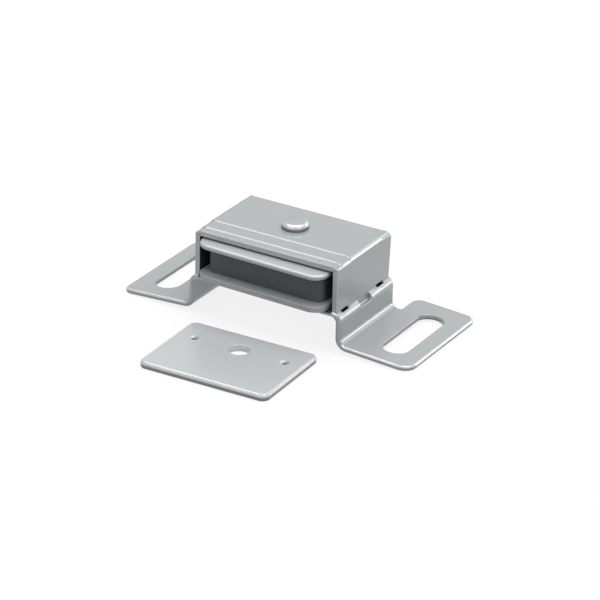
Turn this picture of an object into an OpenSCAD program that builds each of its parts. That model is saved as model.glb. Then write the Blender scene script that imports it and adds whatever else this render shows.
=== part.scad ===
/* [Sheet metal] */
// Thickness of the sheet of the cover and the base strap
sheet_t = 1.5; // [1:0.1:1.7]

/* [Base strap] */
// Length over both feet
base_l = 89; // [84:1:110]
// Height of the raised strap's top over the mounting surface
strap_h = 11.6; // [9:0.1:16]
// Width over the two step walls
step_w = 46.8; // [46.4:0.1:50]
// Depth of the raised strap, front to back
strap_d = 28.5; // [27.5:0.5:31]
// Distance of the front edge from the middle of the slots
strap_front = 18; // [16:0.5:22]
// Depth of the feet, front to back
foot_d = 36.8; // [34:0.2:44]
// Slope of the feet, down towards their tips, in degrees
foot_slope = 3.1; // [0.5:0.1:5]
// Outer radius of the bends at the top of the step walls
shoulder_r = 2.9; // [2.2:0.1:3.2]
// Radius of the hollow of the bends at the feet
heel_r = 1.8; // [1:0.1:2.6]
// Corner radius at the front of the feet
foot_front_r = 3.2; // [1:0.1:5]
// Corner radius at the back of the feet
foot_back_r = 3; // [1:0.1:5]
// Radius in the corner between strap and foot
valley_r = 0.4; // [0.2:0.1:1]
// Flat between the bend at the foot and that corner
heel_land = 0.2; // [0.1:0.1:1]

/* [Fixing slots] */
// Width of a slot
slot_w = 7.4; // [5:0.1:8.4]
// Length of a slot, end to end
slot_l = 25.2; // [16:0.2:27]
// Distance between the middles of the two slots
slot_pitch = 71; // [68:0.5:72]

/* [Cover] */
// Width over the walls
cover_w = 44; // [41:0.5:44]
// Depth of the top, front to back
cover_d = 26.4; // [24:0.2:27]
// Height of the top over the strap
cover_h = 13.3; // [12.5:0.1:18]
// Distance of the cover's front edge behind the strap's
cover_setback = 0.7; // [0:0.1:1]
// Outer radius of the bends between top and walls
cover_bend_r = 1.9; // [1.8:0.1:2.4]
// How far the walls reach back past the top's back edge
wall_reach = 1.7; // [0.5:0.1:2]
// Lean of the walls' back edges, forwards down to the foot, in degrees
wall_lean = 3.8; // [0.5:0.1:6]
// Distance of the first step in the top from the front edge
first_step = 6.9; // [5.5:0.1:9]
// Distance of the second step in the top from the front edge
second_step = 2.6; // [1.5:0.1:4]
// Drop of the top at each step
step_drop = 0.28; // [0.1:0.02:0.3]
// Depth of the narrower lip at the back
lip_d = 3.2; // [2:0.1:5]
// How far the lip is set in at each side
lip_inset = 0.4; // [0.1:0.1:0.8]

/* [Tabs, notches and pockets] */
// Width of the tab at the foot of each wall
tab_w = 5.5; // [3:0.1:7]
// Distance of the tabs' middle behind the cover's front edge
tab_back = 13.4; // [12:0.1:15]
// Play at each side of a tab in its notch
tab_play = 0.2; // [0.1:0.05:0.6]
// Gap between the end of a tab and the bottom of its notch
tab_gap = 0.1; // [0.05:0.05:0.3]
// Depth of a notch below the strap's top
notch_depth = 2.5; // [2:0.1:3]
// Radius in the bottom corners of a notch
notch_r = 0.7; // [0.2:0.1:1]
// Distance of the pockets in the shoulders from the middle of the cover
pocket_at = 9.1; // [6.5:0.1:10]
// Length of a pocket
pocket_l = 3.8; // [2:0.1:4]
// Width of a pocket
pocket_w = 1.5; // [0.8:0.1:1.8]
// How far a pocket shows outside the wall
pocket_out = 0.45; // [0.2:0.05:0.5]
// Sheet that stays under a pocket
pocket_floor = 0.3; // [0.2:0.1:0.6]

/* [Magnet unit] */
// Thickness of a pole plate
plate_t = 1.5; // [1:0.1:1.8]
// Play between the plates' ends and the cover's walls
side_play = 0.8; // [0.6:0.1:2]
// How far the plates stand out in front of the cover
plate_reach = 3.8; // [2:0.1:5]
// Depth of the pole plates, front to back
plate_d = 27; // [24:0.5:29]
// Corner radius at the front of the plates
plate_front_r = 4; // [2:0.1:6]
// Corner radius at the back of the plates
plate_back_r = 2; // [1:0.1:4]
// Height of the magnet
magnet_h = 7.6; // [6:0.1:8]
// How far the magnet's front is behind the plates'
magnet_setback = 3.4; // [2:0.1:5]
// How far the magnet's ends are inside the plates'
magnet_inset = 1.6; // [1:0.1:4]
// Corner radius of the magnet
magnet_r = 2.6; // [0.5:0.1:3]
// Running gap between the lower plate and the strap
lift_gap = 0.1; // [0.05:0.05:0.3]
// Turn of the unit about the rivet as it rests, in degrees
swivel_rest = -1.5; // [-2:0.1:2]

/* [Rivet] */
// Diameter of the shank
rivet_d = 4.6; // [3.5:0.1:5]
// Distance of the rivet's axis behind the cover's front
rivet_back = 14.9; // [12:0.1:16]
// Diameter of the formed head on the cover
head_d = 7.3; // [6.4:0.1:9]
// Height of that head
head_h = 2.2; // [1.6:0.1:2.6]
// Radius of its rounded edge
head_edge = 0.8; // [0.4:0.1:1.2]
// Diameter of the head below the strap
tail_d = 6.6; // [6:0.1:8]
// Height of the head below the strap
tail_h = 1.1; // [0.9:0.1:1.4]
// Radius of its rounded edge
tail_edge = 0.5; // [0.3:0.1:0.5]
// Rise of both heads from the rounded edge to the middle
crown = 0.25; // [0.1:0.05:0.3]
// Running clearance round the shank in the plates
plate_clearance = 0.05; // [0.02:0.01:0.1]
// Clearance round the shank in the magnet
magnet_clearance = 0.4; // [0.2:0.1:1]

/* [Strike plate] */
// Length of the strike plate
strike_w = 38.5; // [34:0.5:44]
// Depth of the strike plate
strike_d = 28; // [22:0.5:32]
// Thickness of the strike plate
strike_t = 2; // [1:0.1:2.4]
// Corner radius of the strike plate
strike_r = 2.2; // [1:0.1:4]
// Diameter of the hole in the middle
strike_hole_d = 6; // [4:0.1:7]
// Distance of the holes from the back edge
strike_hole_back = 8.6; // [6:0.1:11]
// Diameter of the two small holes
pin_hole_d = 1.4; // [1:0.1:2]
// Diameter of their countersinks
pin_sink_d = 2.9; // [2.4:0.1:3.4]
// Distance of the small holes from the middle one
pin_spacing = 13.7; // [10:0.1:14.5]
// Distance from the pole plates to the strike plate
strike_gap = 3.6; // [2:0.1:20]
// Place of the strike plate to the right of the middle
strike_x = 2.2; // [-5:0.1:5]
// Turn of the strike plate as it lies, in degrees
strike_turn = 1.5; // [-10:0.5:10]

/* [Hidden] */
$fn = 96;
function micron(v) = round(v * 1000) / 1000;
far = 100;
cut = 1;

strap_back = strap_d - strap_front;
foot_back = foot_d - strap_front;
step_x = step_w / 2;
strap_under = strap_h - sheet_t;
// Middle of a heel bend, and the foot's underside there: it meets the surface at its tip
heel_x = step_x + heel_r;
heel_under = micron((base_l / 2 - heel_x) * tan(foot_slope));
heel_z = heel_under + sheet_t + heel_r;

cover_front = cover_setback - strap_front;
cover_back = cover_front + cover_d;
cover_top = strap_h + cover_h;
wall_in = cover_w / 2 - sheet_t;
tab_y = cover_front + tab_back;
notch_w = tab_w + 2 * tab_play;
notch_low = strap_h - notch_depth;
tab_low = notch_low + tab_gap;

rivet_y = cover_front + rivet_back;
plate_w = 2 * (wall_in - side_play);
plate_front = cover_front - plate_reach;
lower_plate_z = strap_h + lift_gap;
magnet_z = lower_plate_z + plate_t;
upper_plate_z = magnet_z + magnet_h;
magnet_w = plate_w - 2 * magnet_inset;
magnet_d = plate_d - 2 * magnet_setback;

pin_sink = (pin_sink_d - pin_hole_d) / 2;
strike_y = plate_front - strike_gap - strike_d / 2;

module both_sides() {
    children();
    mirror([1, 0, 0]) children();
}

// What a rounded corner takes off, in the quarter where x and y are positive
module corner_off(r) {
    difference() {
        square(r + cut);
        circle(r);
    }
}

// Rectangle about the middle in x from y = 0 to d, rounded at the front and at the back
module rounded_plate(w, d, front_r, back_r) {
    difference() {
        translate([-w / 2, 0]) square([w, d]);
        both_sides() {
            translate([w / 2 - back_r, d - back_r]) corner_off(back_r);
            translate([w / 2 - front_r, front_r]) mirror([0, 1]) corner_off(front_r);
        }
    }
}

// Draws a section in x and z and gives it a depth along y
module along_y(from, depth) {
    translate([0, from + depth, 0]) rotate([90, 0, 0]) linear_extrude(depth) children();
}

module bent_quarter(outer_r) {
    intersection() {
        difference() {
            circle(outer_r);
            circle(outer_r - sheet_t);
        }
        square(outer_r);
    }
}

// Section of the strap's right half: top, shoulder, step wall and heel
module strap_section() {
    square_top = step_x - shoulder_r;
    translate([0, strap_under]) square([square_top, sheet_t]);
    translate([square_top, strap_h - shoulder_r]) bent_quarter(shoulder_r);
    translate([step_x - sheet_t, heel_z]) square([sheet_t, strap_h - shoulder_r - heel_z]);
    translate([heel_x, heel_z]) mirror([1, 0]) mirror([0, 1]) bent_quarter(heel_r + sheet_t);
}

// What the strap takes up, filled in below
module strap_block() {
    square_top = step_x - shoulder_r;
    square([square_top, strap_h]);
    square([step_x, strap_h - shoulder_r]);
    translate([square_top, strap_h - shoulder_r]) circle(shoulder_r);
}

module slot() {
    straight = slot_l - slot_w;
    translate([-slot_w / 2, -straight / 2]) square([slot_w, straight]);
    for (end = [-1, 1]) {
        translate([0, end * straight / 2]) circle(d = slot_w);
    }
}

// The right foot in plan, with its ear behind the strap
module foot_outline() {
    ear_x = heel_x + heel_land + valley_r;
    difference() {
        translate([step_x, -strap_front]) square([base_l / 2 - step_x, foot_d]);
        difference() {
            translate([0, strap_back]) square([ear_x, far]);
            translate([ear_x - valley_r, strap_back + valley_r]) mirror([0, 1]) corner_off(valley_r);
        }
        translate([ear_x + foot_back_r, foot_back - foot_back_r]) mirror([1, 0]) corner_off(foot_back_r);
        translate([base_l / 2 - foot_back_r, foot_back - foot_back_r]) corner_off(foot_back_r);
        translate([base_l / 2 - foot_front_r, foot_front_r - strap_front])
            mirror([0, 1]) corner_off(foot_front_r);
        translate([slot_pitch / 2, 0]) slot();
    }
}

// Section of the sloping foot, from the end of the heel to past its tip
module foot_section() {
    reach = base_l / 2 + cut - heel_x;
    fall = reach * tan(foot_slope);
    translate([heel_x, heel_under])
        polygon([[0, 0], [reach, -fall], [reach, sheet_t - fall], [0, sheet_t]]);
}

module foot() {
    intersection() {
        translate([0, 0, -cut]) linear_extrude(strap_h) foot_outline();
        along_y(-strap_front - cut, foot_d + 2 * cut) foot_section();
    }
}

// Draws an outline in y and z and runs it out along x from the given place
module along_x(from) {
    translate([from, 0, 0]) rotate([90, 0, 90]) linear_extrude(far) children();
}

module notch() {
    low = notch_low + notch_r;
    inner = notch_w / 2 - notch_r;
    along_x(wall_in - tab_play) translate([tab_y, 0]) {
        translate([-notch_w / 2, low]) square([notch_w, far]);
        translate([-inner, notch_low]) square([2 * inner, far]);
        for (side = [-1, 1]) {
            translate([side * inner, low]) circle(notch_r);
        }
    }
}

// The two pockets in a shoulder, below the foot of the wall
module pockets() {
    for (side = [-1, 1]) {
        translate([cover_w / 2 + pocket_out - pocket_w, side * pocket_at - pocket_l / 2, 0])
            translate([0, cover_front + cover_d / 2, strap_under + pocket_floor])
                cube([pocket_w, pocket_l, far]);
    }
}

module base_strap() {
    color([0.74, 0.76, 0.76]) {
        difference() {
            along_y(-strap_front, strap_d) both_sides() strap_section();
            both_sides() {
                notch();
                pockets();
            }
            translate([0, rivet_y, 0]) cylinder(d = rivet_d, h = far);
        }
        both_sides() foot();
    }
}

// Right half of the cover's section: top, bend and a wall that reaches below the shoulder
module cover_section(drop) {
    top = cover_top - drop;
    flat = cover_w / 2 - cover_bend_r;
    translate([0, top - sheet_t]) square([flat, sheet_t]);
    translate([flat, top - cover_bend_r]) bent_quarter(cover_bend_r);
    wall_low = strap_h - shoulder_r;
    translate([wall_in, wall_low]) square([sheet_t, top - cover_bend_r - wall_low]);
}

module cover_sheet() {
    along_y(cover_front, second_step) both_sides() cover_section(2 * step_drop);
    along_y(cover_front + second_step, first_step - second_step) both_sides() cover_section(step_drop);
    along_y(cover_front + first_step, cover_d + wall_reach + cut - first_step)
        both_sides() cover_section(0);
}

// What is cut off at the back of the right half: behind the top, across the bend, behind the wall
module cover_back_off() {
    flat = cover_w / 2 - cover_bend_r;
    across = sqrt(2) * cover_bend_r;
    translate([-cut, cover_back, cover_top - sheet_t - cut]) cube([flat + cut, far, far]);
    translate([flat, cover_back, cover_top]) rotate([0, 45, 0]) linear_extrude(far, center = true)
        polygon([[0, 0], [far, far * wall_reach / across], [0, far]]);
    translate([wall_in - cut, cover_back + wall_reach, cover_top - cover_bend_r])
        rotate([-wall_lean, 0, 0]) translate([0, 0, -far]) cube([far, far, 2 * far]);
}

module cover() {
    color([0.74, 0.76, 0.76]) {
        difference() {
            cover_sheet();
            // The walls stand on the strap's top and its rounded shoulders
            along_y(cover_front - cut, cover_d + 2 * cut) both_sides() strap_block();
            both_sides() {
                cover_back_off();
                translate([cover_w / 2 - lip_inset, cover_back - lip_d, cover_top - cover_bend_r])
                    cube([far, far, far]);
            }
            translate([0, rivet_y, 0]) cylinder(d = rivet_d, h = far);
        }
        along_y(tab_y - tab_w / 2, tab_w) both_sides()
            translate([wall_in, tab_low]) square([sheet_t, cover_h]);
    }
}

// Turns what is drawn about the rivet's axis, as the unit rests
module swivelled() {
    translate([0, rivet_y, 0]) rotate(swivel_rest) translate([0, -rivet_y, 0]) children();
}

module pole_plate(z) {
    color([0.62, 0.63, 0.64]) swivelled() difference() {
        translate([0, plate_front, z]) linear_extrude(plate_t)
            rounded_plate(plate_w, plate_d, plate_front_r, plate_back_r);
        translate([0, rivet_y, 0]) cylinder(r = rivet_d / 2 + plate_clearance, h = far);
    }
}

module lower_pole_plate() {
    pole_plate(lower_plate_z);
}

module upper_pole_plate() {
    pole_plate(upper_plate_z);
}

module magnet() {
    color([0.22, 0.22, 0.23]) swivelled() difference() {
        translate([0, plate_front + magnet_setback, magnet_z]) linear_extrude(magnet_h)
            rounded_plate(magnet_w, magnet_d, magnet_r, magnet_r);
        translate([0, rivet_y, 0]) cylinder(r = rivet_d / 2 + magnet_clearance, h = far);
    }
}

// Half section of a head on y = 0, with a rounded edge and a slightly crowned top
module head_section(d, h, edge) {
    inner = d / 2 - edge;
    crown_r = (inner * inner + crown * crown) / (2 * crown);
    intersection() {
        square([inner, h]);
        translate([0, h - crown_r]) circle(crown_r);
    }
    square([d / 2, h - crown - edge]);
    intersection() {
        square([d / 2, h]);
        translate([inner, h - crown - edge]) circle(edge);
    }
}

module rivet() {
    color([0.78, 0.79, 0.8]) translate([0, rivet_y, 0]) {
        translate([0, 0, strap_under]) cylinder(d = rivet_d, h = cover_top - strap_under);
        translate([0, 0, cover_top]) rotate_extrude() head_section(head_d, head_h, head_edge);
        translate([0, 0, strap_under]) mirror([0, 0, 1])
            rotate_extrude() head_section(tail_d, tail_h, tail_edge);
    }
}

module strike_plate() {
    color([0.74, 0.76, 0.76]) translate([strike_x, strike_y, 0]) rotate(strike_turn) difference() {
        translate([0, -strike_d / 2, 0]) linear_extrude(strike_t)
            rounded_plate(strike_w, strike_d, strike_r, strike_r);
        translate([0, strike_d / 2 - strike_hole_back, 0]) {
            translate([0, 0, -cut]) cylinder(d = strike_hole_d, h = far);
            both_sides() translate([pin_spacing, 0, 0]) {
                translate([0, 0, -cut]) cylinder(d = pin_hole_d, h = far);
                translate([0, 0, strike_t - pin_sink])
                    cylinder(d1 = pin_hole_d, d2 = pin_sink_d + 2 * cut, h = pin_sink + cut);
            }
        }
    }
}

base_strap();
cover();
upper_pole_plate();
magnet();
lower_pole_plate();
rivet();
strike_plate();
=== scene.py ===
import math

import bmesh
import bpy
from mathutils import Matrix, Vector


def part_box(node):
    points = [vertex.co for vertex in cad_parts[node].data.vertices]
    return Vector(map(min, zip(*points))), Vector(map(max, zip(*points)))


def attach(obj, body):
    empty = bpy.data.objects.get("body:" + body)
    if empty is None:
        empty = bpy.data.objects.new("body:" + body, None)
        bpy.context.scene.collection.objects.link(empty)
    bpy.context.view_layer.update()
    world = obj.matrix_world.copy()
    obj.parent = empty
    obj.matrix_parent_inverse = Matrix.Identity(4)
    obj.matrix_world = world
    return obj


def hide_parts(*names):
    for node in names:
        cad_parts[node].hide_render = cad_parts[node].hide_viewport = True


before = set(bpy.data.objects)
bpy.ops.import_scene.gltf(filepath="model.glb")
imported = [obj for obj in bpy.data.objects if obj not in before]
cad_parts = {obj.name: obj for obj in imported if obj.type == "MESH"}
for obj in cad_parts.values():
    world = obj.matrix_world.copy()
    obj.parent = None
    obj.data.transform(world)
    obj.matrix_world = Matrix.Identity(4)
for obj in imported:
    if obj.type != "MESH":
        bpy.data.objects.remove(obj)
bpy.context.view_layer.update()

mm = 0.001  # the pieces are shaped in millimetres and scaled once, when they are finished
quarter = math.pi / 2


def millimetres(node):
    low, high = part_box(node)
    return low / mm, high / mm


# what both folded sheets share
sheet = {
    "thickness": 1.5,
    "bendSlices": 12,   # cuts across a quarter bend
}

# how finely shapes are cut, and how close places count as the same
fine = {
    "cornerSteps": 8,    # steps in a rounded corner of a blank
    "rimSegments": 5,
    "holeSides": 48,
    "slack": 0.01,       # allowed when places are compared, in millimetres
    "level": 0.001,      # allowed when heights of rims are compared
    "touch": 1e-6,       # allowed at the end of a stretch of a fold line
    "weld": 0.0005,
    "blankWeld": 0.002,
    "sharp": 0.5,        # smallest angle at a sharp edge, in radians
    "flat": 0.01,        # largest angle between faces that are joined into one
}


# modelling helpers

def outline(mesh, corners, steps=fine["cornerSteps"]):
    # a closed loop of edges through (x, y, radius), each corner rounded by its radius
    verts = [mesh.verts.new((x, y, 0)) for x, y, radius in corners]
    mesh.faces.new(verts)
    for vert, (x, y, radius) in zip(verts, corners):
        bmesh.ops.bevel(mesh, geom=[vert], offset=radius, offset_type="OFFSET", segments=steps,
                        profile=0.5, affect="VERTICES", material=-1)
    bmesh.ops.delete(mesh, geom=list(mesh.faces)[-1:], context="FACES_ONLY")


def roundHole(mesh, x, y, radius, sides=fine["holeSides"]):
    bmesh.ops.create_circle(mesh, segments=sides, radius=radius, cap_ends=False,
                            matrix=Matrix.Translation((x, y, 0)))


def rectangle(low, high, radius):
    # corners of an upright rectangle with one radius all round
    return [(low[0], low[1], radius), (high[0], low[1], radius),
            (high[0], high[1], radius), (low[0], high[1], radius)]


def fillBlank(mesh):
    # fills the loops to one flat sheet with holes
    bmesh.ops.remove_doubles(mesh, verts=mesh.verts[:], dist=fine["blankWeld"])
    bmesh.ops.triangle_fill(mesh, use_beauty=True, use_dissolve=False, edges=mesh.edges[:],
                            normal=(0, 0, 1))
    bmesh.ops.dissolve_limit(mesh, angle_limit=fine["flat"], use_dissolve_boundaries=False,
                             verts=mesh.verts[:], edges=mesh.edges[:], delimit=set())


def thicken(mesh, thickness):
    grown = bmesh.ops.extrude_face_region(mesh, geom=mesh.faces[:])
    raised = [v for v in grown["geom"] if isinstance(v, bmesh.types.BMVert)]
    bmesh.ops.translate(mesh, verts=raised, vec=(0, 0, thickness))
    bmesh.ops.recalc_face_normals(mesh, faces=mesh.faces[:])


def rimEdges(mesh, level, near=None):
    # the sharp edges at one height, all of them or those close to a point
    found = []
    for edge in mesh.edges:
        if len(edge.link_faces) != 2 or edge.calc_face_angle(0) < fine["sharp"]:
            continue
        if any(abs(v.co.z - level) > fine["level"] for v in edge.verts):
            continue
        middle = (edge.verts[0].co + edge.verts[1].co) / 2
        if near is None or (middle.xy - Vector(near[:2])).length < near[2]:
            found.append(edge)
    return found


def wearAndHighlightMark(mesh):
    # the value that tells the finish how much a place is worn and lit by a painted highlight
    return mesh.verts.layers.float.get("edge") or mesh.verts.layers.float.new("edge")


def paintedShadeMark(mesh):
    # the value that tells the finish how much painted shade darkens a place
    return mesh.verts.layers.float.get("paintedShade") or mesh.verts.layers.float.new("paintedShade")


def roundRim(mesh, edges, radius, segments=fine["rimSegments"], wearAndHighlight=1.0):
    # rounds the edges, and marks the middle of the rounding as worn, with a painted highlight
    mark = wearAndHighlightMark(mesh)
    made = bmesh.ops.bevel(mesh, geom=edges, offset=radius, offset_type="OFFSET", segments=segments,
                           profile=0.5, affect="EDGES", material=-1, clamp_overlap=False)
    rounding = set(made["faces"])
    for face in made["faces"]:
        for vert in face.verts:
            if all(f in rounding for f in vert.link_faces):
                vert[mark] = wearAndHighlight


def sliceAt(mesh, places, normal):
    # cuts new edges across the shape at these distances along the normal
    for place in places:
        bmesh.ops.bisect_plane(mesh, geom=mesh.verts[:] + mesh.edges[:] + mesh.faces[:],
                               dist=fine["weld"], plane_co=Vector(normal) * place, plane_no=normal)


def bothWays(places):
    # the same distances to the right and to the left
    return list(places) + [-place for place in places]


def between(start, end, count):
    return [start + (end - start) * step / count for step in range(count + 1)]


def finished(mesh, name, material, body, node):
    # scales the shape to metres, hangs it on its body and gives it its finish
    bmesh.ops.remove_doubles(mesh, verts=mesh.verts[:], dist=fine["weld"])
    bmesh.ops.scale(mesh, vec=(mm, mm, mm), verts=mesh.verts[:])
    for face in mesh.faces:
        face.smooth = True
    data = bpy.data.meshes.new(name)
    mesh.to_mesh(data)
    mesh.free()
    piece = bpy.data.objects.new(name, data)
    bpy.context.scene.collection.objects.link(piece)
    data.materials.append(material)
    weighted = piece.modifiers.new("flatFacesStayFlat", "WEIGHTED_NORMAL")
    weighted.mode = "FACE_AREA"
    weighted.weight = 50
    weighted.keep_sharp = True
    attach(piece, body)
    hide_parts(node)
    print(name, "has", len(data.polygons), "faces")


# The line that a sheet is folded along, as straight stretches and bends in x and z. It runs
# in the middle of the sheet's thickness and gives the place of any point of the flat blank.
class FoldLine:
    def __init__(self, x, z):
        self.stretches = []
        self.length = 0
        self.place = Vector((x, 0, z))
        self.angle = 0  # downward turn of the sheet so far

    def heading(self, angle):
        return Vector((math.cos(angle), 0, -math.sin(angle)))

    def upward(self, angle):
        return Vector((math.sin(angle), 0, math.cos(angle)))

    def straight(self, length):
        self.stretches.append((self.length, length, self.place.copy(), self.angle, 0))
        self.length += length
        self.place = self.place + self.heading(self.angle) * length

    def bend(self, turn, radius):
        # turn is positive downwards, radius is that of the sheet's middle
        length = abs(turn) * radius
        self.stretches.append((self.length, length, self.place.copy(), self.angle, turn))
        side = 1 if turn > 0 else -1
        centre = self.place - self.upward(self.angle) * radius * side
        self.length += length
        self.angle += turn
        self.place = centre + self.upward(self.angle) * radius * side

    def at(self, along, height):
        # the folded place of a point that lies along the flat line, at a height over its middle
        for start, length, place, angle, turn in self.stretches:
            if along <= start + length + fine["touch"]:
                break
        if turn == 0:
            return place + self.heading(angle) * (along - start) + self.upward(angle) * height
        side = 1 if turn > 0 else -1
        radius = length / abs(turn)
        centre = place - self.upward(angle) * radius * side
        here = angle + turn * (along - start) / length
        return centre + self.upward(here) * (radius * side + height)

    def share(self, bend, x):
        # how far through one of the bends a point of the flat blank lies, 0 to 1 inside it
        start, length, place, angle, turn = self.stretches[bend]
        return (abs(x) - start) / length

    def flatOfWall(self, z):
        # where a height on the wall after the first bend lies along the flat blank
        start, length, place, angle, turn = self.stretches[2]
        return start + place.z - z

    def bendPlaces(self, slices):
        # where the blank is sliced so that its bends come out round
        found = []
        for start, length, place, angle, turn in self.stretches:
            if turn:
                count = max(2, round(slices * abs(turn) / quarter))
                found += between(start, start + length, count)
        return found


def fold(mesh, line):
    # bends the flat blank, which lies from z = 0 up, alike to both sides
    half = sheet["thickness"] / 2
    for vert in mesh.verts:
        side = 1 if vert.co.x >= 0 else -1
        place = line.at(abs(vert.co.x), vert.co.z - half)
        vert.co = Vector((side * place.x, vert.co.y, place.z))


def smooth(value):
    # a soft step from 0 to 1
    value = min(1, max(0, value))
    return value * value * (3 - 2 * value)


def ridge(along, places):
    # rises and falls smoothly between four places
    rise, full, fade, end = places
    return min(smooth((along - rise) / (full - rise)), smooth((end - along) / (end - fade)))


# shared finish

def socketed(name, inputs, outputs):
    group = bpy.data.node_groups.new(name, "ShaderNodeTree")
    for label, kind, value in inputs:
        socket = group.interface.new_socket(label, in_out="INPUT", socket_type=kind)
        socket.default_value = value
    for label, kind in outputs:
        group.interface.new_socket(label, in_out="OUTPUT", socket_type=kind)
    return group, group.nodes.new("NodeGroupInput"), group.nodes.new("NodeGroupOutput")


def mathNode(tree, operation, first, second, third=None, clamp=False):
    node = tree.nodes.new("ShaderNodeMath")
    node.operation = operation
    node.use_clamp = clamp
    for socket, value in zip(node.inputs, (first, second, third)):
        if value is None:
            continue
        if isinstance(value, (int, float)):
            socket.default_value = value
        else:
            tree.links.new(value, socket)
    return node.outputs[0]


def noiseNode(tree, vector, scale, detail, rough):
    node = tree.nodes.new("ShaderNodeTexNoise")
    node.inputs["Detail"].default_value = detail
    node.inputs["Roughness"].default_value = rough
    tree.links.new(scale, node.inputs["Scale"])
    tree.links.new(vector, node.inputs["Vector"])
    return node.outputs["Fac"]


def mixColour(tree, factor, first, second):
    node = tree.nodes.new("ShaderNodeMix")
    node.data_type = "RGBA"
    for place, value in ((0, factor), (6, first), (7, second)):
        tree.links.new(value, node.inputs[place])
    return node.outputs[2]


# how the finish varies over a surface
wear = {
    "cloud": (3.0, 0.55),   # detail and roughness of the clouds
    "grain": (2.0, 0.6),    # the same of the fine grain
    "middle": 0.5,          # noise above this is rougher than the surface, below it smoother
    "wearHighlightBase": 0.45,        # added to the clouds where they thin the wear and painted highlight
    "rubGloss": -0.08,      # change of roughness where the wear and painted highlight mark is full
}


def surfaceGroup():
    # clouding, fine grain, worn edges with a painted highlight, and painted shade, for every metal
    # and for the magnet
    group, into, out = socketed(
        "workedSurface",
        [("Colour", "NodeSocketColor", (0.5, 0.5, 0.5, 1)),
         ("Cloud Colour", "NodeSocketColor", (0.45, 0.45, 0.45, 1)),
         ("Wear And Highlight Colour", "NodeSocketColor", (0.6, 0.6, 0.6, 1)),
         ("Painted Shade Colour", "NodeSocketColor", (0.02, 0.02, 0.02, 1)),
         ("Cloud Size", "NodeSocketFloat", 120.0),
         ("Grain Size", "NodeSocketFloat", 4000.0),
         ("Clouding", "NodeSocketFloat", 0.5),
         ("Wear And Highlight Amount", "NodeSocketFloat", 0.5),
         ("Roughness", "NodeSocketFloat", 0.4),
         ("Roughness Spread", "NodeSocketFloat", 0.06)],
        [("Colour", "NodeSocketColor"), ("Roughness", "NodeSocketFloat"),
         ("Height", "NodeSocketFloat")])
    place = group.nodes.new("ShaderNodeTexCoord").outputs["Object"]
    cloud = noiseNode(group, place, into.outputs["Cloud Size"], *wear["cloud"])
    grain = noiseNode(group, place, into.outputs["Grain Size"], *wear["grain"])
    edge = group.nodes.new("ShaderNodeAttribute")
    edge.attribute_name = "edge"
    shadeNode = group.nodes.new("ShaderNodeAttribute")
    shadeNode.attribute_name = "paintedShade"
    rubbedAndHighlighted = mathNode(group, "MULTIPLY", edge.outputs["Fac"], into.outputs["Wear And Highlight Amount"])
    wornAndHighlighted = mathNode(group, "MULTIPLY", rubbedAndHighlighted, mathNode(group, "ADD", cloud, wear["wearHighlightBase"]),
                    clamp=True)
    clouding = mathNode(group, "MULTIPLY", cloud, into.outputs["Clouding"], clamp=True)
    tint = mixColour(group, clouding, into.outputs["Colour"], into.outputs["Cloud Colour"])
    # marked edges are lightened: wear, with a painted highlight
    bright = mixColour(group, wornAndHighlighted, tint, into.outputs["Wear And Highlight Colour"])
    # marked places are darkened with painted shade
    colour = mixColour(group, shadeNode.outputs["Fac"], bright, into.outputs["Painted Shade Colour"])
    rough = into.outputs["Roughness"]
    for noise in (cloud, grain):
        uneven = mathNode(group, "SUBTRACT", noise, wear["middle"])
        rough = mathNode(group, "MULTIPLY_ADD", uneven, into.outputs["Roughness Spread"], rough)
    rough = mathNode(group, "MULTIPLY_ADD", wornAndHighlighted, wear["rubGloss"], rough, clamp=True)
    group.links.new(colour, out.inputs["Colour"])
    group.links.new(rough, out.inputs["Roughness"])
    group.links.new(grain, out.inputs["Height"])
    return group


workedSurface = surfaceGroup()


def finish(name, look):
    material = bpy.data.materials.new(name)
    material.use_nodes = True
    tree = material.node_tree
    shader = tree.nodes["Principled BSDF"]
    worked = tree.nodes.new("ShaderNodeGroup")
    worked.node_tree = workedSurface
    for label, value in look["surface"].items():
        worked.inputs[label].default_value = value
    bump = tree.nodes.new("ShaderNodeBump")
    bump.inputs["Strength"].default_value = look["bump"]
    bump.inputs["Distance"].default_value = look["bumpDepth"]
    tree.links.new(worked.outputs["Colour"], shader.inputs["Base Color"])
    tree.links.new(worked.outputs["Roughness"], shader.inputs["Roughness"])
    tree.links.new(worked.outputs["Height"], bump.inputs["Height"])
    tree.links.new(bump.outputs["Normal"], shader.inputs["Normal"])
    shader.inputs["Metallic"].default_value = look["metallic"]
    shader.inputs["Specular IOR Level"].default_value = look["specular"]
    return material


zincLook = {
    "metallic": 0.25,
    "specular": 0.5,
    "bump": 0.15,
    "bumpDepth": 0.00003,
    "surface": {
        "Colour": (0.455, 0.475, 0.48, 1),
        "Cloud Colour": (0.43, 0.45, 0.455, 1),
        "Wear And Highlight Colour": (0.8, 0.82, 0.825, 1),
        "Cloud Size": 160.0,
        "Grain Size": 5200.0,
        "Clouding": 0.6,
        "Wear And Highlight Amount": 1.1,
        "Roughness": 0.2,
        "Roughness Spread": 0.03,
    },
}
poleLook = {
    "metallic": 0.3,
    "specular": 0.5,
    "bump": 0.18,
    "bumpDepth": 0.00003,
    "surface": {
        "Colour": (0.62, 0.645, 0.645, 1),
        "Cloud Colour": (0.59, 0.615, 0.615, 1),
        "Wear And Highlight Colour": (0.8, 0.82, 0.82, 1),
        "Cloud Size": 190.0,
        "Grain Size": 4200.0,
        "Clouding": 0.7,
        "Wear And Highlight Amount": 1.1,
        "Roughness": 0.4,
        "Roughness Spread": 0.07,
    },
}
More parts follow.
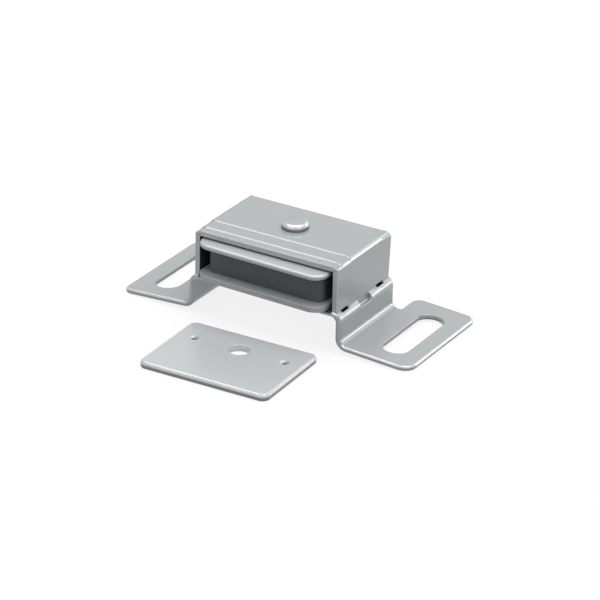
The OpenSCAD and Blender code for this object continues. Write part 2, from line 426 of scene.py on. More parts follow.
rivetLook = {
    "metallic": 0.5,
    "specular": 0.5,
    "bump": 0.1,
    "bumpDepth": 0.00002,
    "surface": {
        "Colour": (0.53, 0.55, 0.55, 1),
        "Cloud Colour": (0.5, 0.52, 0.52, 1),
        "Wear And Highlight Colour": (0.94, 0.95, 0.95, 1),
        "Cloud Size": 260.0,
        "Grain Size": 6000.0,
        "Clouding": 0.5,
        "Wear And Highlight Amount": 1.1,
        "Roughness": 0.36,
        "Roughness Spread": 0.04,
    },
}
ferriteLook = {
    "metallic": 0.0,
    "specular": 0.4,
    "bump": 0.35,
    "bumpDepth": 0.00005,
    "surface": {
        "Colour": (0.105, 0.119, 0.119, 1),
        "Cloud Colour": (0.09, 0.102, 0.102, 1),
        "Wear And Highlight Colour": (0.15, 0.165, 0.165, 1),
        "Cloud Size": 240.0,
        "Grain Size": 3600.0,
        "Clouding": 0.8,
        "Wear And Highlight Amount": 0.6,
        "Roughness": 0.5,
        "Roughness Spread": 0.12,
    },
}
# lighter than satinZinc: painted light that makes up for the shade the catch casts on the strike
strikeLook = {
    "metallic": 0.12,
    "specular": 0.5,
    "bump": 0.12,
    "bumpDepth": 0.00003,
    "surface": {
        "Colour": (0.585, 0.61, 0.61, 1),
        "Cloud Colour": (0.565, 0.59, 0.59, 1),
        "Wear And Highlight Colour": (0.85, 0.87, 0.87, 1),
        "Cloud Size": 160.0,
        "Grain Size": 5200.0,
        "Clouding": 0.6,
        "Wear And Highlight Amount": 1.0,
        "Roughness": 0.3,
        "Roughness Spread": 0.03,
    },
}
zincSteel = finish("satinZinc", zincLook)
poleSteel = finish("poleSteel", poleLook)
rivetSteel = finish("rivetSteel", rivetLook)
ferrite = finish("ferriteCeramic", ferriteLook)
strikeSteel = finish("strikeZinc", strikeLook)
print("finishes made")


# what the cover measures, which the strap's notches and pockets follow
coverLow, coverHigh = millimetres("cover")
cover = {
    "topDepth": 26.4,
    "bendRadius": 1.9,
    "wallReach": 1.7,      # how far the walls reach back past the top
    "wallLean": math.radians(3.8),
    "wallEnd": 10.75,      # the walls' feet, sunk into the strap's shoulders
    "corner": 0.4,
    "cornerSteps": 4,
    "outerEdge": 0.25,
    "outerSegments": 4,
    # wear and a painted highlight on the outer rim
    "outerWearHighlight": 0.2,
    "innerEdge": 0.08,     # rounding of the rim on the inside
    "innerSegments": 2,
    "rivetRoom": 4.0,      # edges this close to the rivet stay sharp
    "steps": (6.9, 2.6),   # distance of each step from the front edge
    "stepDrop": 0.28,
    "stepRun": 0.95,       # length of the slope of a step
    "stepSlices": 6,
    "ridge": (0.52, 0.64, 0.75, 0.86),  # where the folds carry a painted highlight, as shares of their turn
    "ridgeHighlight": 0.9,
    "lipDepth": 3.2,
    "lipInset": 0.4,
    "lipRise": 0.3,        # height over which the lip's inset grows
    "lipDrop": 0.1,
    "lipRun": 0.12,
    "lipSlices": 4,
    # painted shade on the cover's inside
    "insidePaintedShade": 0.9,
    "shadeStart": 0.08,     # how far behind the front rim the painted shade inside begins
    "pocketFoot": 11.3,    # the walls' feet over the pockets
    "pocketAt": 9.1,       # the pockets' distance from the middle of the top's depth
    "pocketCorner": 0.15,
    "tabMiddle": coverLow.y + 13.4,
    "tabWidth": 5.5,
    "tabCorner": 0.2,
    "tabPlay": 0.2,
    "tabEnd": 9.2,         # the tab's foot, just over the end of its notch
}
cover["topBack"] = coverLow.y + cover["topDepth"]
cover["lipStart"] = cover["topBack"] - cover["lipDepth"]
cover["pockets"] = [coverLow.y + cover["topDepth"] / 2 + side * cover["pocketAt"]
                    for side in (1, -1)]
cover["notchFront"] = cover["tabMiddle"] - cover["tabWidth"] / 2 - cover["tabPlay"]
cover["notchBack"] = cover["tabMiddle"] + cover["tabWidth"] / 2 + cover["tabPlay"]


# base strap: raised strap with notches and pockets, step walls and sloping feet in one folded sheet
baseLow, baseHigh = millimetres("base_strap")
strap = {
    "height": 11.6,
    "stepWidth": 46.8,
    "back": 10.5,
    "edgeRound": 0.6,
    "shoulderRadius": 2.9,   # outside of the upper bends
    "heelRadius": 1.8,       # hollow of the lower bends
    "heelLand": 0.2,
    "footSlope": math.radians(3.1),
    "tipShort": 0.01,        # keeps the rounded tips inside the solid's box
    "rightFront": 3.8,       # corner radii of the feet
    "leftFront": 2.2,
    "footBack": 3.0,
    "valley": 0.4,
    "slotWidth": 7.4,
    "slotLength": 25.2,
    "slotPitch": 71.0,
    "slotSteps": 12,
    "slotEdge": 0.35,
    "slotSegments": 3,
    "notchIn": 20.15,        # the tab's notch, from here outwards
    "notchLow": 9.1,
    "notchCorner": 0.7,
    "notchSteps": 4,
    "notchEdge": 0.18,
    "notchSegments": 2,
    # wear and a painted highlight on the notches' rims
    "notchWearHighlight": 0.3,
    "pocketIn": 20.95,       # the pockets in the shoulders, from here to there
    "pocketOut": 22.45,
    "pocketFloor": 10.4,
    "pocketLength": 3.8,
    "pocketWall": 0.05,      # run of a pocket's walls
    # painted shade in the pockets
    "pocketPaintedShade": 1.0,
    "wearHighlightEnd": 0.6,           # the rim's wear and painted highlight is gone at this share of the shoulder's turn
    "wearHighlightStart": 0.4,         # and begins again at this share of the heel's
    "wearHighlightRun": 0.5,
    "ridge": (0.35, 0.45, 0.68, 0.78),  # where the shoulders carry a painted highlight, as shares of their turn
    "ridgeHighlight": 0.2,
    # a painted highlight along the heel's hollow
    "heelRidge": (0.1, 0.22, 0.3, 0.42),
    "heelHighlight": 0.25,
    # painted shade after the heel's hollow
    "heelShade": (0.42, 0.6, 0.9, 1.0),
    "heelPaintedShade": 0.1,
    "lowPaintedShade": 0.45,         # painted shade on the feet's lower edges
    "topPaintedShade": 0.85,         # painted shade under the cover
    "topFade": (0.1, 0.4),   # where it begins, behind the cover's front
    "topFadeBack": 1.0,      # and how far before the strap's back it ends
    "nook": (17.8, 18.3, 20.4, 20.8),  # painted shade in the corner before the foot of each wall of the cover
    "nookPaintedShade": 0.95,
    "nookDepth": 0.45,       # how far down the strap's front it reaches
}
shoulderBend, heelBend = 1, 3  # their places among the strap's stretches


def strapLine():
    half = sheet["thickness"] / 2
    shoulder = strap["shoulderRadius"] - half
    heel = strap["heelRadius"] + half
    squareTop = strap["stepWidth"] / 2 - strap["shoulderRadius"]
    heelX = strap["stepWidth"] / 2 + strap["heelRadius"]
    heelUnder = (baseHigh.x - heelX) * math.tan(strap["footSlope"])
    heelZ = heelUnder + sheet["thickness"] + strap["heelRadius"]
    line = FoldLine(0, strap["height"] - half)
    line.straight(squareTop)
    line.bend(quarter, shoulder)
    line.straight(strap["height"] - strap["shoulderRadius"] - heelZ)
    line.bend(strap["footSlope"] - quarter, heel)
    line.straight(baseHigh.x)
    return line


def strapFlat(line, x):
    # where a place on the foot, given by its x, lies along the flat blank
    start, length, place, angle, turn = line.stretches[-1]
    return start + (x - place.x) / math.cos(angle)


def strapBlank(line, slotMiddle, notchOut):
    # the sheet with its slots and notches, not yet folded
    front, back, footBack = baseLow.y, strap["back"], baseHigh.y
    tip = strapFlat(line, baseHigh.x - strap["tipShort"])
    ear = strapFlat(line, strap["stepWidth"] / 2 + strap["heelRadius"] + strap["heelLand"]
                    + strap["valley"])
    mesh = bmesh.new()
    outline(mesh, [
        (-tip, front, strap["leftFront"]), (tip, front, strap["rightFront"]),
        (tip, footBack, strap["footBack"]), (ear, footBack, strap["footBack"]),
        (ear, back, strap["valley"]), (-ear, back, strap["valley"]),
        (-ear, footBack, strap["footBack"]), (-tip, footBack, strap["footBack"])])
    for side in (-1, 1):
        low = (side * slotMiddle - strap["slotWidth"] / 2, -strap["slotLength"] / 2)
        high = (side * slotMiddle + strap["slotWidth"] / 2, strap["slotLength"] / 2)
        outline(mesh, rectangle(low, high, strap["slotWidth"] / 2), strap["slotSteps"])
        inner, outer = sorted((side * strap["notchIn"], side * notchOut))
        outline(mesh, rectangle((inner, cover["notchFront"]), (outer, cover["notchBack"]),
                                strap["notchCorner"]), strap["notchSteps"])
    fillBlank(mesh)
    thicken(mesh, sheet["thickness"])
    return mesh


def insideNotch(edge, notchOut):
    # whether an edge of the flat blank borders a tab's notch
    slack = fine["slack"]
    return all(strap["notchIn"] - slack < abs(v.co.x) < notchOut + slack
               and cover["notchFront"] - slack < v.co.y < cover["notchBack"] + slack
               for v in edge.verts)


def insideSlot(edge, slotMiddle):
    # whether it borders a fixing slot
    slack = fine["slack"]
    return all(abs(v.co.y) < strap["slotLength"] / 2 + slack
               and abs(abs(v.co.x) - slotMiddle) < strap["slotWidth"] / 2 + slack
               for v in edge.verts)


def roundStrap(mesh, slotMiddle, notchOut):
    rim = rimEdges(mesh, 0) + rimEdges(mesh, sheet["thickness"])
    inNotch = [e for e in rim if insideNotch(e, notchOut)]
    inSlot = [e for e in rim if insideSlot(e, slotMiddle)]
    # the rims' roundings are marked worn with a painted highlight, the notches' lightly, the slots'
    # not at all
    roundRim(mesh, [e for e in rim if e not in inNotch and e not in inSlot], strap["edgeRound"])
    roundRim(mesh, inNotch, strap["notchEdge"], strap["notchSegments"], strap["notchWearHighlight"])
    roundRim(mesh, inSlot, strap["slotEdge"], strap["slotSegments"], 0)


def cutPockets(mesh, line):
    # cuts the pockets' outlines before the fold and finds the points that are sunk after it
    outer = strap["shoulderRadius"]
    flatTop = strap["stepWidth"] / 2 - outer
    start, middle = line.stretches[shoulderBend][0], outer - sheet["thickness"] / 2
    places = [start + middle * math.asin((strap[side] - flatTop) / outer)
              for side in ("pocketIn", "pocketOut")]
    wall, half, slack = strap["pocketWall"], strap["pocketLength"] / 2, fine["slack"]
    across = [places[0], places[0] + wall, places[1] - wall, places[1]]
    sliceAt(mesh, bothWays(across), (1, 0, 0))
    sunk = []
    for centre in cover["pockets"]:
        sliceAt(mesh, (centre - half, centre - half + wall, centre + half - wall, centre + half),
                (0, 1, 0))
        sunk += [vert for vert in mesh.verts if vert.co.z > sheet["thickness"] - slack
                 and across[1] - slack < abs(vert.co.x) < across[2] + slack
                 and abs(vert.co.y - centre) < half - wall + slack]
    return sunk


def paintStrapShade(mesh, paintedShade, sunk):
    # painted shade on the strap's top under the cover, and in the pockets
    slack = fine["slack"]
    inside = coverHigh.x - sheet["thickness"]
    front, back = coverLow.y + strap["topFade"][1], strap["back"] - strap["topFadeBack"]
    for vert in mesh.verts:
        onTop = vert.co.z > sheet["thickness"] - slack
        if onTop and abs(vert.co.x) < inside - slack and front - slack < vert.co.y < back:
            vert[paintedShade] = strap["topPaintedShade"]
    for vert in sunk:
        vert[paintedShade] = strap["pocketPaintedShade"]


def paintStrapHighlightAndShade(mesh, paintedShade, line):
    # fades the rim's wear and painted highlight on the step walls, paints a highlight on the bends,
    # and paints shade on the heels, lower rims and nooks
    wearHighlight, slack, top = wearAndHighlightMark(mesh), fine["slack"], sheet["thickness"]
    nookBack = coverLow.y + strap["topFade"][0] + slack
    for vert in mesh.verts:
        inShoulder, inHeel = line.share(shoulderBend, vert.co.x), line.share(heelBend, vert.co.x)
        if vert.co.z < top - strap["edgeRound"] - slack:
            vert[paintedShade] = max(vert[paintedShade], strap["lowPaintedShade"] * smooth(inHeel))
        vert[wearHighlight] *= max(smooth((strap["wearHighlightEnd"] - inShoulder) / strap["wearHighlightRun"]),
                         smooth((inHeel - strap["wearHighlightStart"]) / strap["wearHighlightRun"]))
        if vert.co.z > top - strap["nookDepth"] and vert.co.y < nookBack:
            byWall = ridge(abs(vert.co.x), strap["nook"])
            vert[paintedShade] = max(vert[paintedShade], strap["nookPaintedShade"] * byWall)
            vert[wearHighlight] *= 1 - byWall
        if vert.co.z > top - slack:
            vert[wearHighlight] = max(vert[wearHighlight], ridge(inShoulder, strap["ridge"]) * strap["ridgeHighlight"],
                            ridge(inHeel, strap["heelRidge"]) * strap["heelHighlight"])
            vert[paintedShade] = max(vert[paintedShade], ridge(inHeel, strap["heelShade"]) * strap["heelPaintedShade"])


def buildStrap():
    line = strapLine()
    slotMiddle = strapFlat(line, strap["slotPitch"] / 2)
    notchOut = line.flatOfWall(strap["notchLow"])
    mesh = strapBlank(line, slotMiddle, notchOut)
    roundStrap(mesh, slotMiddle, notchOut)
    sliceAt(mesh, bothWays(line.bendPlaces(sheet["bendSlices"])), (1, 0, 0))
    marks = strap["nook"] + (coverHigh.x - sheet["thickness"],)
    sliceAt(mesh, [side * place for place in marks for side in (-1, 1)], (1, 0, 0))
    sliceAt(mesh, [coverLow.y + place for place in strap["topFade"]], (0, 1, 0))
    paintedShade = paintedShadeMark(mesh)  # made before the sunk points are kept, because a new mark drops them
    sunk = cutPockets(mesh, line)
    paintStrapShade(mesh, paintedShade, sunk)
    paintStrapHighlightAndShade(mesh, paintedShade, line)
    fold(mesh, line)
    for vert in sunk:
        vert.co.z = strap["pocketFloor"]
    finished(mesh, "baseStrap", zincSteel, "base", "base_strap")


# cover: a folded channel with two steps and a lip in its top, long walls and tabs
coverBend = 1  # its place among the cover's stretches


def coverLine():
    half = sheet["thickness"] / 2
    line = FoldLine(0, coverHigh.z - half)
    line.straight(coverHigh.x - cover["bendRadius"])
    line.bend(quarter, cover["bendRadius"] - half)
    line.straight(coverHigh.z)
    return line


def coverDrop(y):
    # how far the top lies below its middle part at this depth
    drop = 0
    for step in cover["steps"]:
        drop += cover["stepDrop"] * smooth((coverLow.y + step - y) / cover["stepRun"] + 0.5)
    return drop + cover["lipDrop"] * smooth((y - cover["lipStart"]) / cover["lipRun"] + 0.5)


def coverBlank(line, foot):
    # the sheet with the rivet's hole, not yet folded: the right half's corners from back to front,
    # then the same mirrored
    pocketFoot, tabEnd = line.flatOfWall(cover["pocketFoot"]), line.flatOfWall(cover["tabEnd"])
    wallStart, wallBack = line.stretches[2][0], cover["topBack"] + cover["wallReach"]
    lean = (foot - wallStart) * math.tan(cover["wallLean"])
    tab, half = cover["tabWidth"] / 2, strap["pocketLength"] / 2
    corner, cut = cover["corner"], cover["pocketCorner"]
    right = [(coverHigh.x - cover["bendRadius"], cover["topBack"], corner),
             (wallStart, wallBack, corner), (foot, wallBack - lean, corner)]
    for side, middle in zip((1, -1), cover["pockets"]):
        edge = [(foot, middle + side * half, cut), (pocketFoot, middle + side * half, cut),
                (pocketFoot, middle - side * half, cut), (foot, middle - side * half, cut),
                (foot, cover["tabMiddle"] + side * tab, cover["tabCorner"]),
                (tabEnd, cover["tabMiddle"] + side * tab, corner)]
        right += edge[::side]
    right += [(foot, coverLow.y, corner)]
    left = [(-x, y, radius) for x, y, radius in reversed(right)]
    mesh = bmesh.new()
    outline(mesh, left + right, cover["cornerSteps"])
    roundHole(mesh, *magnetUnit["pivot"], magnetUnit["shank"] / 2)
    fillBlank(mesh)
    thicken(mesh, sheet["thickness"])
    return mesh


def roundCover(mesh, foot):
    # rounds the rims apart from the rivet's hole and the walls' outer feet
    pivot, middle = Vector(magnetUnit["pivot"]), sheet["thickness"] / 2
    away = [e for e in rimEdges(mesh, 0) + rimEdges(mesh, sheet["thickness"])
            if (e.verts[0].co.xy - pivot).length > cover["rivetRoom"]]
    outerRim = [e for e in away if e.verts[0].co.z > middle
                and max(abs(v.co.x) for v in e.verts) < foot - fine["slack"]]
    innerRim = [e for e in away if e.verts[0].co.z < middle]
    roundRim(mesh, outerRim, cover["outerEdge"], cover["outerSegments"], cover["outerWearHighlight"])
    roundRim(mesh, innerRim, cover["innerEdge"], cover["innerSegments"], 0)


def sliceSlope(mesh, middle, run, count):
    # slices for a short slope across the depth
    sliceAt(mesh, between(middle - run / 2, middle + run / 2, count), (0, 1, 0))


def paintCoverHighlightAndShade(mesh, line):
    # paints a highlight on the outside of the folds, and paints shade on the inside
    wearHighlight, paintedShade, slack = wearAndHighlightMark(mesh), paintedShadeMark(mesh), fine["slack"]
    shadeFront = coverLow.y + cover["innerEdge"] + cover["shadeStart"]
    sliceAt(mesh, (shadeFront,), (0, 1, 0))
    for vert in mesh.verts:
        if vert.co.z > sheet["thickness"] - slack:
            rubbedAndHighlighted = ridge(line.share(coverBend, vert.co.x), cover["ridge"]) * cover["ridgeHighlight"]
            vert[wearHighlight] = max(vert[wearHighlight], rubbedAndHighlighted)
        elif vert.co.z < slack and vert.co.y > shadeFront - slack:
            vert[paintedShade] = cover["insidePaintedShade"]


def buildCover():
    line = coverLine()
    foot = line.flatOfWall(cover["wallEnd"])
    mesh = coverBlank(line, foot)
    roundCover(mesh, foot)
    sliceAt(mesh, bothWays(line.bendPlaces(sheet["bendSlices"])), (1, 0, 0))
    for step in cover["steps"]:
        sliceSlope(mesh, coverLow.y + step, cover["stepRun"], cover["stepSlices"])
    sliceSlope(mesh, cover["lipStart"], cover["lipRun"], cover["lipSlices"])
    paintCoverHighlightAndShade(mesh, line)
    turned = [min(1, max(0, line.share(coverBend, vert.co.x))) for vert in mesh.verts]
    fold(mesh, line)
    bendLow = coverHigh.z - cover["bendRadius"]
    for vert, share in zip(mesh.verts, turned):
        above = vert.co.z - bendLow
        vert.co.z -= coverDrop(vert.co.y) * smooth(math.cos(quarter * share))
        if above > 0:
            inLip = smooth((vert.co.y - cover["lipStart"]) / cover["lipRun"] + 0.5)
            limit = coverHigh.x - cover["lipInset"] * inLip * smooth(above / cover["lipRise"])
            vert.co.x = max(-limit, min(limit, vert.co.x))
    finished(mesh, "coverShell", zincSteel, "base", "cover")


# magnet unit: two pole plates with the ferrite block between them, turned a little on the rivet
rivetLow, rivetHigh = millimetres("rivet")
magnetUnit = {
    "pivot": (0, (rivetLow.y + rivetHigh.y) / 2),
    "turn": math.radians(-1.5),
    "shank": 4.6,
    "plateWidth": 39.4,
    "plateDepth": 27.0,
    "plateThickness": 1.5,
    "frontRadius": 4.0,
    "backRadius": 2.0,
    "plateSteps": 12,
    "plateFront": -21.1,
    "platePlay": 0.05,     # room round the shank
    "plates": {
        # node, rounding of the edges, their wear and painted highlight, painted shade on the upper
        # face and below it
        "upperPolePlate": ("upper_pole_plate", 0.62, 0.4, 0.0, 0.28),
        "lowerPolePlate": ("lower_pole_plate", 0.12, 0.0, 0.12, 0.4),
    },
    "magnetWidth": 36.2,
    "magnetDepth": 20.2,
    "magnetSetback": 3.4,
    "magnetRadius": 2.6,
    "magnetSteps": 10,
    "magnetEdge": 0.25,
    "magnetSegments": 3,
    "magnetPlay": 0.4,
}


def swivelled(mesh):
    pivot = Vector((*magnetUnit["pivot"], 0))
    bmesh.ops.rotate(mesh, verts=mesh.verts[:], cent=pivot,
                     matrix=Matrix.Rotation(magnetUnit["turn"], 3, "Z"))


def buildPlate(name, node, edge, wearAndHighlight, topPaintedShade, lowPaintedShade):
    half, front = magnetUnit["plateWidth"] / 2, magnetUnit["plateFront"]
    back, thickness = front + magnetUnit["plateDepth"], magnetUnit["plateThickness"]
    frontRadius, backRadius = magnetUnit["frontRadius"], magnetUnit["backRadius"]
    mesh = bmesh.new()
    outline(mesh, [(-half, front, frontRadius), (half, front, frontRadius),
                   (half, back, backRadius), (-half, back, backRadius)], magnetUnit["plateSteps"])
    roundHole(mesh, *magnetUnit["pivot"], magnetUnit["shank"] / 2 + magnetUnit["platePlay"])
    fillBlank(mesh)
    thicken(mesh, thickness)
    roundRim(mesh, rimEdges(mesh, 0) + rimEdges(mesh, thickness), edge, wearAndHighlight=wearAndHighlight)
    paintedShade = paintedShadeMark(mesh)
    # painted shade: one amount on the top face, another below its top rounding
    for vert in mesh.verts:
        vert[paintedShade] = lowPaintedShade if vert.co.z < thickness - edge + fine["level"] else topPaintedShade
    bmesh.ops.translate(mesh, verts=mesh.verts[:], vec=(0, 0, millimetres(node)[0].z))
    swivelled(mesh)
    finished(mesh, name, poleSteel, "magnet_unit", node)


def buildMagnet():
    low, high = millimetres("magnet")
    half = magnetUnit["magnetWidth"] / 2
    front = magnetUnit["plateFront"] + magnetUnit["magnetSetback"]
    mesh = bmesh.new()
    outline(mesh, rectangle((-half, front), (half, front + magnetUnit["magnetDepth"]),
                            magnetUnit["magnetRadius"]), magnetUnit["magnetSteps"])
    roundHole(mesh, *magnetUnit["pivot"], magnetUnit["shank"] / 2 + magnetUnit["magnetPlay"])
    fillBlank(mesh)
    thicken(mesh, high.z - low.z)
    # the rims carry the default wear mark, a painted highlight
    roundRim(mesh, rimEdges(mesh, 0) + rimEdges(mesh, high.z - low.z), magnetUnit["magnetEdge"],
             magnetUnit["magnetSegments"])
    bmesh.ops.translate(mesh, verts=mesh.verts[:], vec=(0, 0, low.z))
    swivelled(mesh)
    finished(mesh, "magnetBlock", ferrite, "magnet_unit", "magnet")


# rivet: head with a rounded edge, shank and formed tail, turned about its axis
rivet = {
    "head": 7.3,
    "headHeight": 2.2,
    "headEdge": 1.1,      # rounding between crown and side
    "headCrown": 0.25,    # rise of the crown inside that rounding
    "tail": 6.6,
    "tailHeight": 1.1,
    "tailEdge": 0.5,
    "tailCrown": 0.25,
    "steps": 64,
    "rings": 6,
    "crownHighlight": (-0.25, 0.1, 0.75, 1.0),  # where the head's rounding carries a painted highlight, from its foot up
    # painted shade on the head's side
    "sidePaintedShade": 0.8,
    "shadeRun": 0.3,       # height over which the side's painted shade fades at the rounding's foot
}


def headPoints(diameter, height, edge, crown):
    # half section of a head from its axis, over the rounding, to its seat
    flat = diameter / 2 - edge
    radius = (flat * flat + crown * crown) / (2 * crown)
    widest = math.asin(flat / radius)
    points = [(radius * math.sin(angle), height - radius + radius * math.cos(angle))
              for angle in between(0, widest, rivet["rings"])]
    drop = height - crown - edge
    points += [(flat + edge * math.sin(angle), drop + edge * math.cos(angle))
               for angle in between(widest, quarter, rivet["rings"])]
    return points + [(diameter / 2, 0)]


def buildRivet():
    seat = coverHigh.z
    under = strap["height"] - sheet["thickness"]
    head = headPoints(rivet["head"], rivet["headHeight"], rivet["headEdge"], rivet["headCrown"])
    tail = headPoints(rivet["tail"], rivet["tailHeight"], rivet["tailEdge"], rivet["tailCrown"])
    section = [(r, seat + z) for r, z in head]
    section += [(magnetUnit["shank"] / 2, seat), (magnetUnit["shank"] / 2, under)]
    section += [(r, under - z) for r, z in reversed(tail)]
    mesh = bmesh.new()
    verts = [mesh.verts.new((r, 0, z)) for r, z in section]
    edges = [mesh.edges.new(pair) for pair in zip(verts, verts[1:])]
    bmesh.ops.spin(mesh, geom=verts + edges, cent=(0, 0, 0), axis=(0, 0, 1), angle=2 * math.pi,
                   steps=rivet["steps"], use_merge=True, dvec=(0, 0, 0))
    bmesh.ops.remove_doubles(mesh, verts=mesh.verts[:], dist=fine["level"])
    bmesh.ops.recalc_face_normals(mesh, faces=mesh.faces[:])
    paintedShade, wearHighlight = paintedShadeMark(mesh), wearAndHighlightMark(mesh)
    sideTop = seat + rivet["headHeight"] - rivet["headCrown"] - rivet["headEdge"]
    # painted shade on the head's side, a painted highlight on its rounding
    for vert in mesh.verts:
        above = vert.co.z - sideTop
        vert[paintedShade] = rivet["sidePaintedShade"] * smooth(0.5 - above / rivet["shadeRun"])
        vert[wearHighlight] = ridge(above / rivet["headEdge"], rivet["crownHighlight"])
    bmesh.ops.translate(mesh, verts=mesh.verts[:], vec=(*magnetUnit["pivot"], 0))
    finished(mesh, "rivetPin", rivetSteel, "base", "rivet")


# strike plate: a flat plate with one screw hole and two countersunk pin holes
strike = {
    "width": 38.5,
    "depth": 28.0,
    "thickness": 2.0,
    "radius": 2.2,
    "cornerSteps": 10,
    "topEdge": 0.8,
    "lowEdge": 0.4,
    "hole": 6.0,
    "holeBack": 8.6,
    "holeEdge": 0.12,
    "holeSegments": 3,
    "pinHole": 1.4,
    "pinSides": 32,
    "pinSink": 2.9,
    "pinSpacing": 13.7,
    "turn": math.radians(1.5),
    # wear and a painted highlight on the outer rims, a painted highlight on the hole's wall
    "wearAndHighlight": 0.5,
    "holeHighlight": 1.0,
    "sideHighlight": 1.0,
    "sideTop": 0.6,       # the side carries a painted highlight below this share of the top rounding
    "sideBright": 1.15,   # and down to here, with painted shade below the next height
    "sideDark": 1.0,
    "sideBand": 1.0,      # how far in from the longer edges the side's marks may reach
    # painted shade on the low side and in the pin bores
    "lowPaintedShade": 0.5,
    "pinPaintedShade": 0.5,
    "sinkPaintedShade": 0.35,     # the countersinks have painted shade at the back and a painted highlight at the front
    "sinkShift": 0.3,
    "sinkRim": 0.1,       # width left unmarked at their rims
}


def paintStrikeHighlightAndShade(mesh, half, hole, pins):
    # paints a highlight on the hole's wall, highlight and shade in the countersinks, and highlight
    # and shade on the side
    wearHighlight, paintedShade, slack = wearAndHighlightMark(mesh), paintedShadeMark(mesh), fine["slack"]
    top, dark, sink = strike["thickness"], strike["sideDark"], strike["pinSink"] / 2
    deep = sink - strike["pinHole"] / 2
    sliceAt(mesh, (top - deep / 3, top - deep * 2 / 3, dark, strike["sideBright"]), (0, 0, 1))
    for vert in mesh.verts:
        away = min((vert.co.xy - pin for pin in pins), key=lambda offset: offset.length)
        atSide = vert.co.xy.length > half.y - strike["sideBand"]
        if (vert.co.xy - hole).length < strike["hole"] / 2 + slack:
            vert[wearHighlight] = strike["holeHighlight"]
        elif away.length < sink - strike["sinkRim"]:
            backward = (away.x + away.y) / (away.length * math.sqrt(2))
            inBore = away.length < strike["pinHole"] / 2 + slack
            vert[paintedShade] = strike["pinPaintedShade"] if inBore else strike["sinkPaintedShade"] * smooth(backward)
            vert[wearHighlight] = 0 if inBore else smooth(-backward + strike["sinkShift"])
        elif atSide and vert.co.z < dark + slack:
            vert[paintedShade], vert[wearHighlight] = strike["lowPaintedShade"], 0
        elif atSide and vert.co.z < top - strike["topEdge"] * strike["sideTop"]:
            vert[wearHighlight] = strike["sideHighlight"]


def buildStrike():
    low, high = millimetres("strike_plate")
    middle = (low + high) / 2
    half = Vector((strike["width"] / 2, strike["depth"] / 2))
    hole = Vector((0, half.y - strike["holeBack"]))
    pins = [hole + Vector((side * strike["pinSpacing"], 0)) for side in (-1, 1)]
    sink, top = (strike["pinSink"] - strike["pinHole"]) / 2, strike["thickness"]
    mesh = bmesh.new()
    outline(mesh, rectangle(-half, half, strike["radius"]), strike["cornerSteps"])
    roundHole(mesh, *hole, strike["hole"] / 2)
    for pin in pins:
        roundHole(mesh, *pin, strike["pinHole"] / 2, strike["pinSides"])
    fillBlank(mesh)
    thicken(mesh, top)
    for pin in pins:
        ring = rimEdges(mesh, top, (*pin, strike["pinHole"]))
        bmesh.ops.bevel(mesh, geom=ring, offset=sink, offset_type="OFFSET", segments=1,
                        profile=0.5, affect="EDGES", material=-1)
    byHole = (*hole, strike["hole"])
    roundRim(mesh, rimEdges(mesh, 0, byHole) + rimEdges(mesh, top, byHole), strike["holeEdge"],
             strike["holeSegments"])
    for level, edge in ((0, strike["lowEdge"]), (top, strike["topEdge"])):
        outer = [e for e in rimEdges(mesh, level)
                 if max(abs(e.verts[0].co.x) - half.x,
                        abs(e.verts[0].co.y) - half.y) > -strike["radius"]]
        roundRim(mesh, outer, edge, wearAndHighlight=strike["wearAndHighlight"])
    paintStrikeHighlightAndShade(mesh, half, hole, pins)
    bmesh.ops.rotate(mesh, verts=mesh.verts[:], cent=(0, 0, 0),
                     matrix=Matrix.Rotation(strike["turn"], 3, "Z"))
    bmesh.ops.translate(mesh, verts=mesh.verts[:], vec=(middle.x, middle.y, 0))
    finished(mesh, "strikePlate", strikeSteel, "base", "strike_plate")


buildStrap()
buildCover()
for plateName, plateLook in magnetUnit["plates"].items():
    buildPlate(plateName, *plateLook)
buildMagnet()
buildRivet()
buildStrike()


# camera, at the photograph's viewing angle
view = {
    "azimuth": math.radians(30.51),
    "elevation": math.radians(25.78),
    "roll": math.radians(1.27),
    "target": (-1.33, 3.2, 0.76),
    "distance": 943.06,
    "focal": 3493.7,   # in pixels of the 600 pixel frame
    "frame": 600,
    "sensor": 36.0,
    "clip": (0.05, 20),
}


def buildCamera():
    azimuth, elevation = view["azimuth"], view["elevation"]
    back = Vector((math.sin(azimuth) * math.cos(elevation),
                   -math.cos(azimuth) * math.cos(elevation), math.sin(elevation)))
    right = (-back).cross(Vector((0, 0, 1))).normalized()
    up = right.cross(-back)
    data = bpy.data.cameras.new("photoCamera")
    data.lens = view["focal"] * view["sensor"] / view["frame"]
    data.sensor_width = view["sensor"]
    data.clip_start, data.clip_end = view["clip"]
    camera = bpy.data.objects.new("photoCamera", data)
    bpy.context.scene.collection.objects.link(camera)
    cos, sin = math.cos(view["roll"]), math.sin(view["roll"])
    across = right * cos + up * sin
    upright = up * cos - right * sin
    turn = Matrix((across, upright, back)).transposed().to_4x4()
    place = (Vector(view["target"]) + back * view["distance"]) * mm
    camera.matrix_world = Matrix.Translation(place) @ turn
    bpy.context.scene.camera = camera


buildCamera()
print("camera placed")


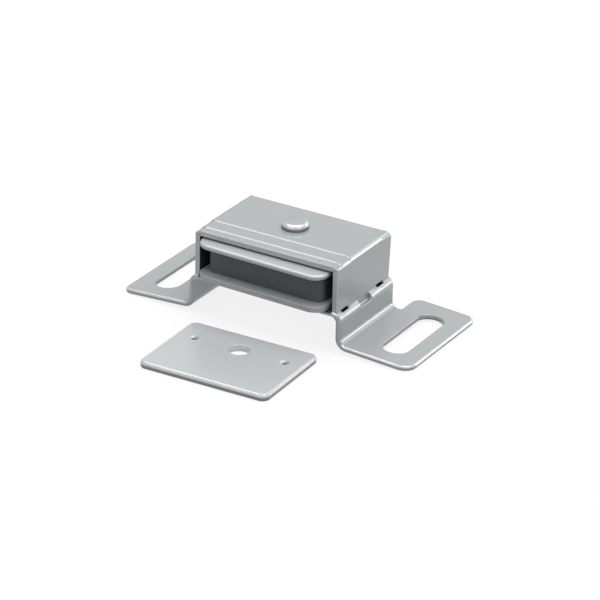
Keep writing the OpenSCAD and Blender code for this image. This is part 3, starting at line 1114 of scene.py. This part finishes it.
# floor, world and lamps
studio = {
    "floorSize": 6.0,
    "floorColour": 0.15,
    "floorRoughness": 0.9,
    "floorGlow": 0.84,      # how bright the eye and reflections see it, as a share of plain white
    "world": 0.3,
    "lamps": {
        # direction from the object, distance, width, height, radiance
        "backSoftbox": ((-0.15, 0.776, 0.52), 1.2, 1.35, 0.85, 0.45),
        "overheadSoftbox": ((-0.457, -0.02, 0.89), 1.1, 1.0, 0.3, 2.9),
        "topSoftbox": ((0.3, 0.0, 1.0), 1.2, 1.0, 1.0, 2.95),
        "rightSoftbox": ((0.43, 0.776, 0.40), 1.2, 0.42, 0.6, 1.4),
        "rightStrip": ((0.63, 0.776, 0.10), 1.2, 0.25, 0.3, 4.2),
        "rightFill": ((0.9, -0.35, 0.35), 1.2, 0.6, 0.6, 0.7),
        "frontFill": ((-0.1, -0.776, 0.55), 1.2, 0.9, 0.7, 0.8),
    },
}


def buildFloor():
    mesh = bmesh.new()
    bmesh.ops.create_grid(mesh, x_segments=1, y_segments=1, size=studio["floorSize"] / 2)
    data = bpy.data.meshes.new("floor")
    mesh.to_mesh(data)
    mesh.free()
    floor = bpy.data.objects.new("floor", data)
    bpy.context.scene.collection.objects.link(floor)
    material = bpy.data.materials.new("floorPaper")
    material.use_nodes = True
    tree = material.node_tree
    shader = tree.nodes["Principled BSDF"]
    shader.inputs["Base Color"].default_value = (studio["floorColour"],) * 3 + (1,)
    shader.inputs["Roughness"].default_value = studio["floorRoughness"]
    shader.inputs["Specular IOR Level"].default_value = 0.0
    light = tree.nodes.new("ShaderNodeLightPath")
    seen = mathNode(tree, "MAXIMUM", light.outputs["Is Camera Ray"], light.outputs["Is Glossy Ray"])
    seen = mathNode(tree, "MAXIMUM", seen, light.outputs["Is Transmission Ray"])
    tree.links.new(mathNode(tree, "MULTIPLY", seen, studio["floorGlow"]),
                   shader.inputs["Emission Strength"])
    shader.inputs["Emission Color"].default_value = (1, 1, 1, 1)
    data.materials.append(material)


def buildLights():
    world = bpy.data.worlds.new("studio")
    bpy.context.scene.world = world
    world.use_nodes = True
    background = world.node_tree.nodes["Background"]
    background.inputs["Color"].default_value = (1, 1, 1, 1)
    background.inputs["Strength"].default_value = studio["world"]
    for name, (direction, distance, width, height, radiance) in studio["lamps"].items():
        data = bpy.data.lights.new(name, "AREA")
        data.shape = "RECTANGLE"
        data.size, data.size_y = width, height
        data.energy = radiance * math.pi * width * height
        lamp = bpy.data.objects.new(name, data)
        bpy.context.scene.collection.objects.link(lamp)
        aim = Vector(direction).normalized()
        lamp.location = aim * distance
        lamp.rotation_mode = "QUATERNION"
        lamp.rotation_quaternion = aim.to_track_quat("Z", "Y")


buildFloor()
buildLights()
bpy.context.scene.view_settings.view_transform = "Standard"
print("studio lit")
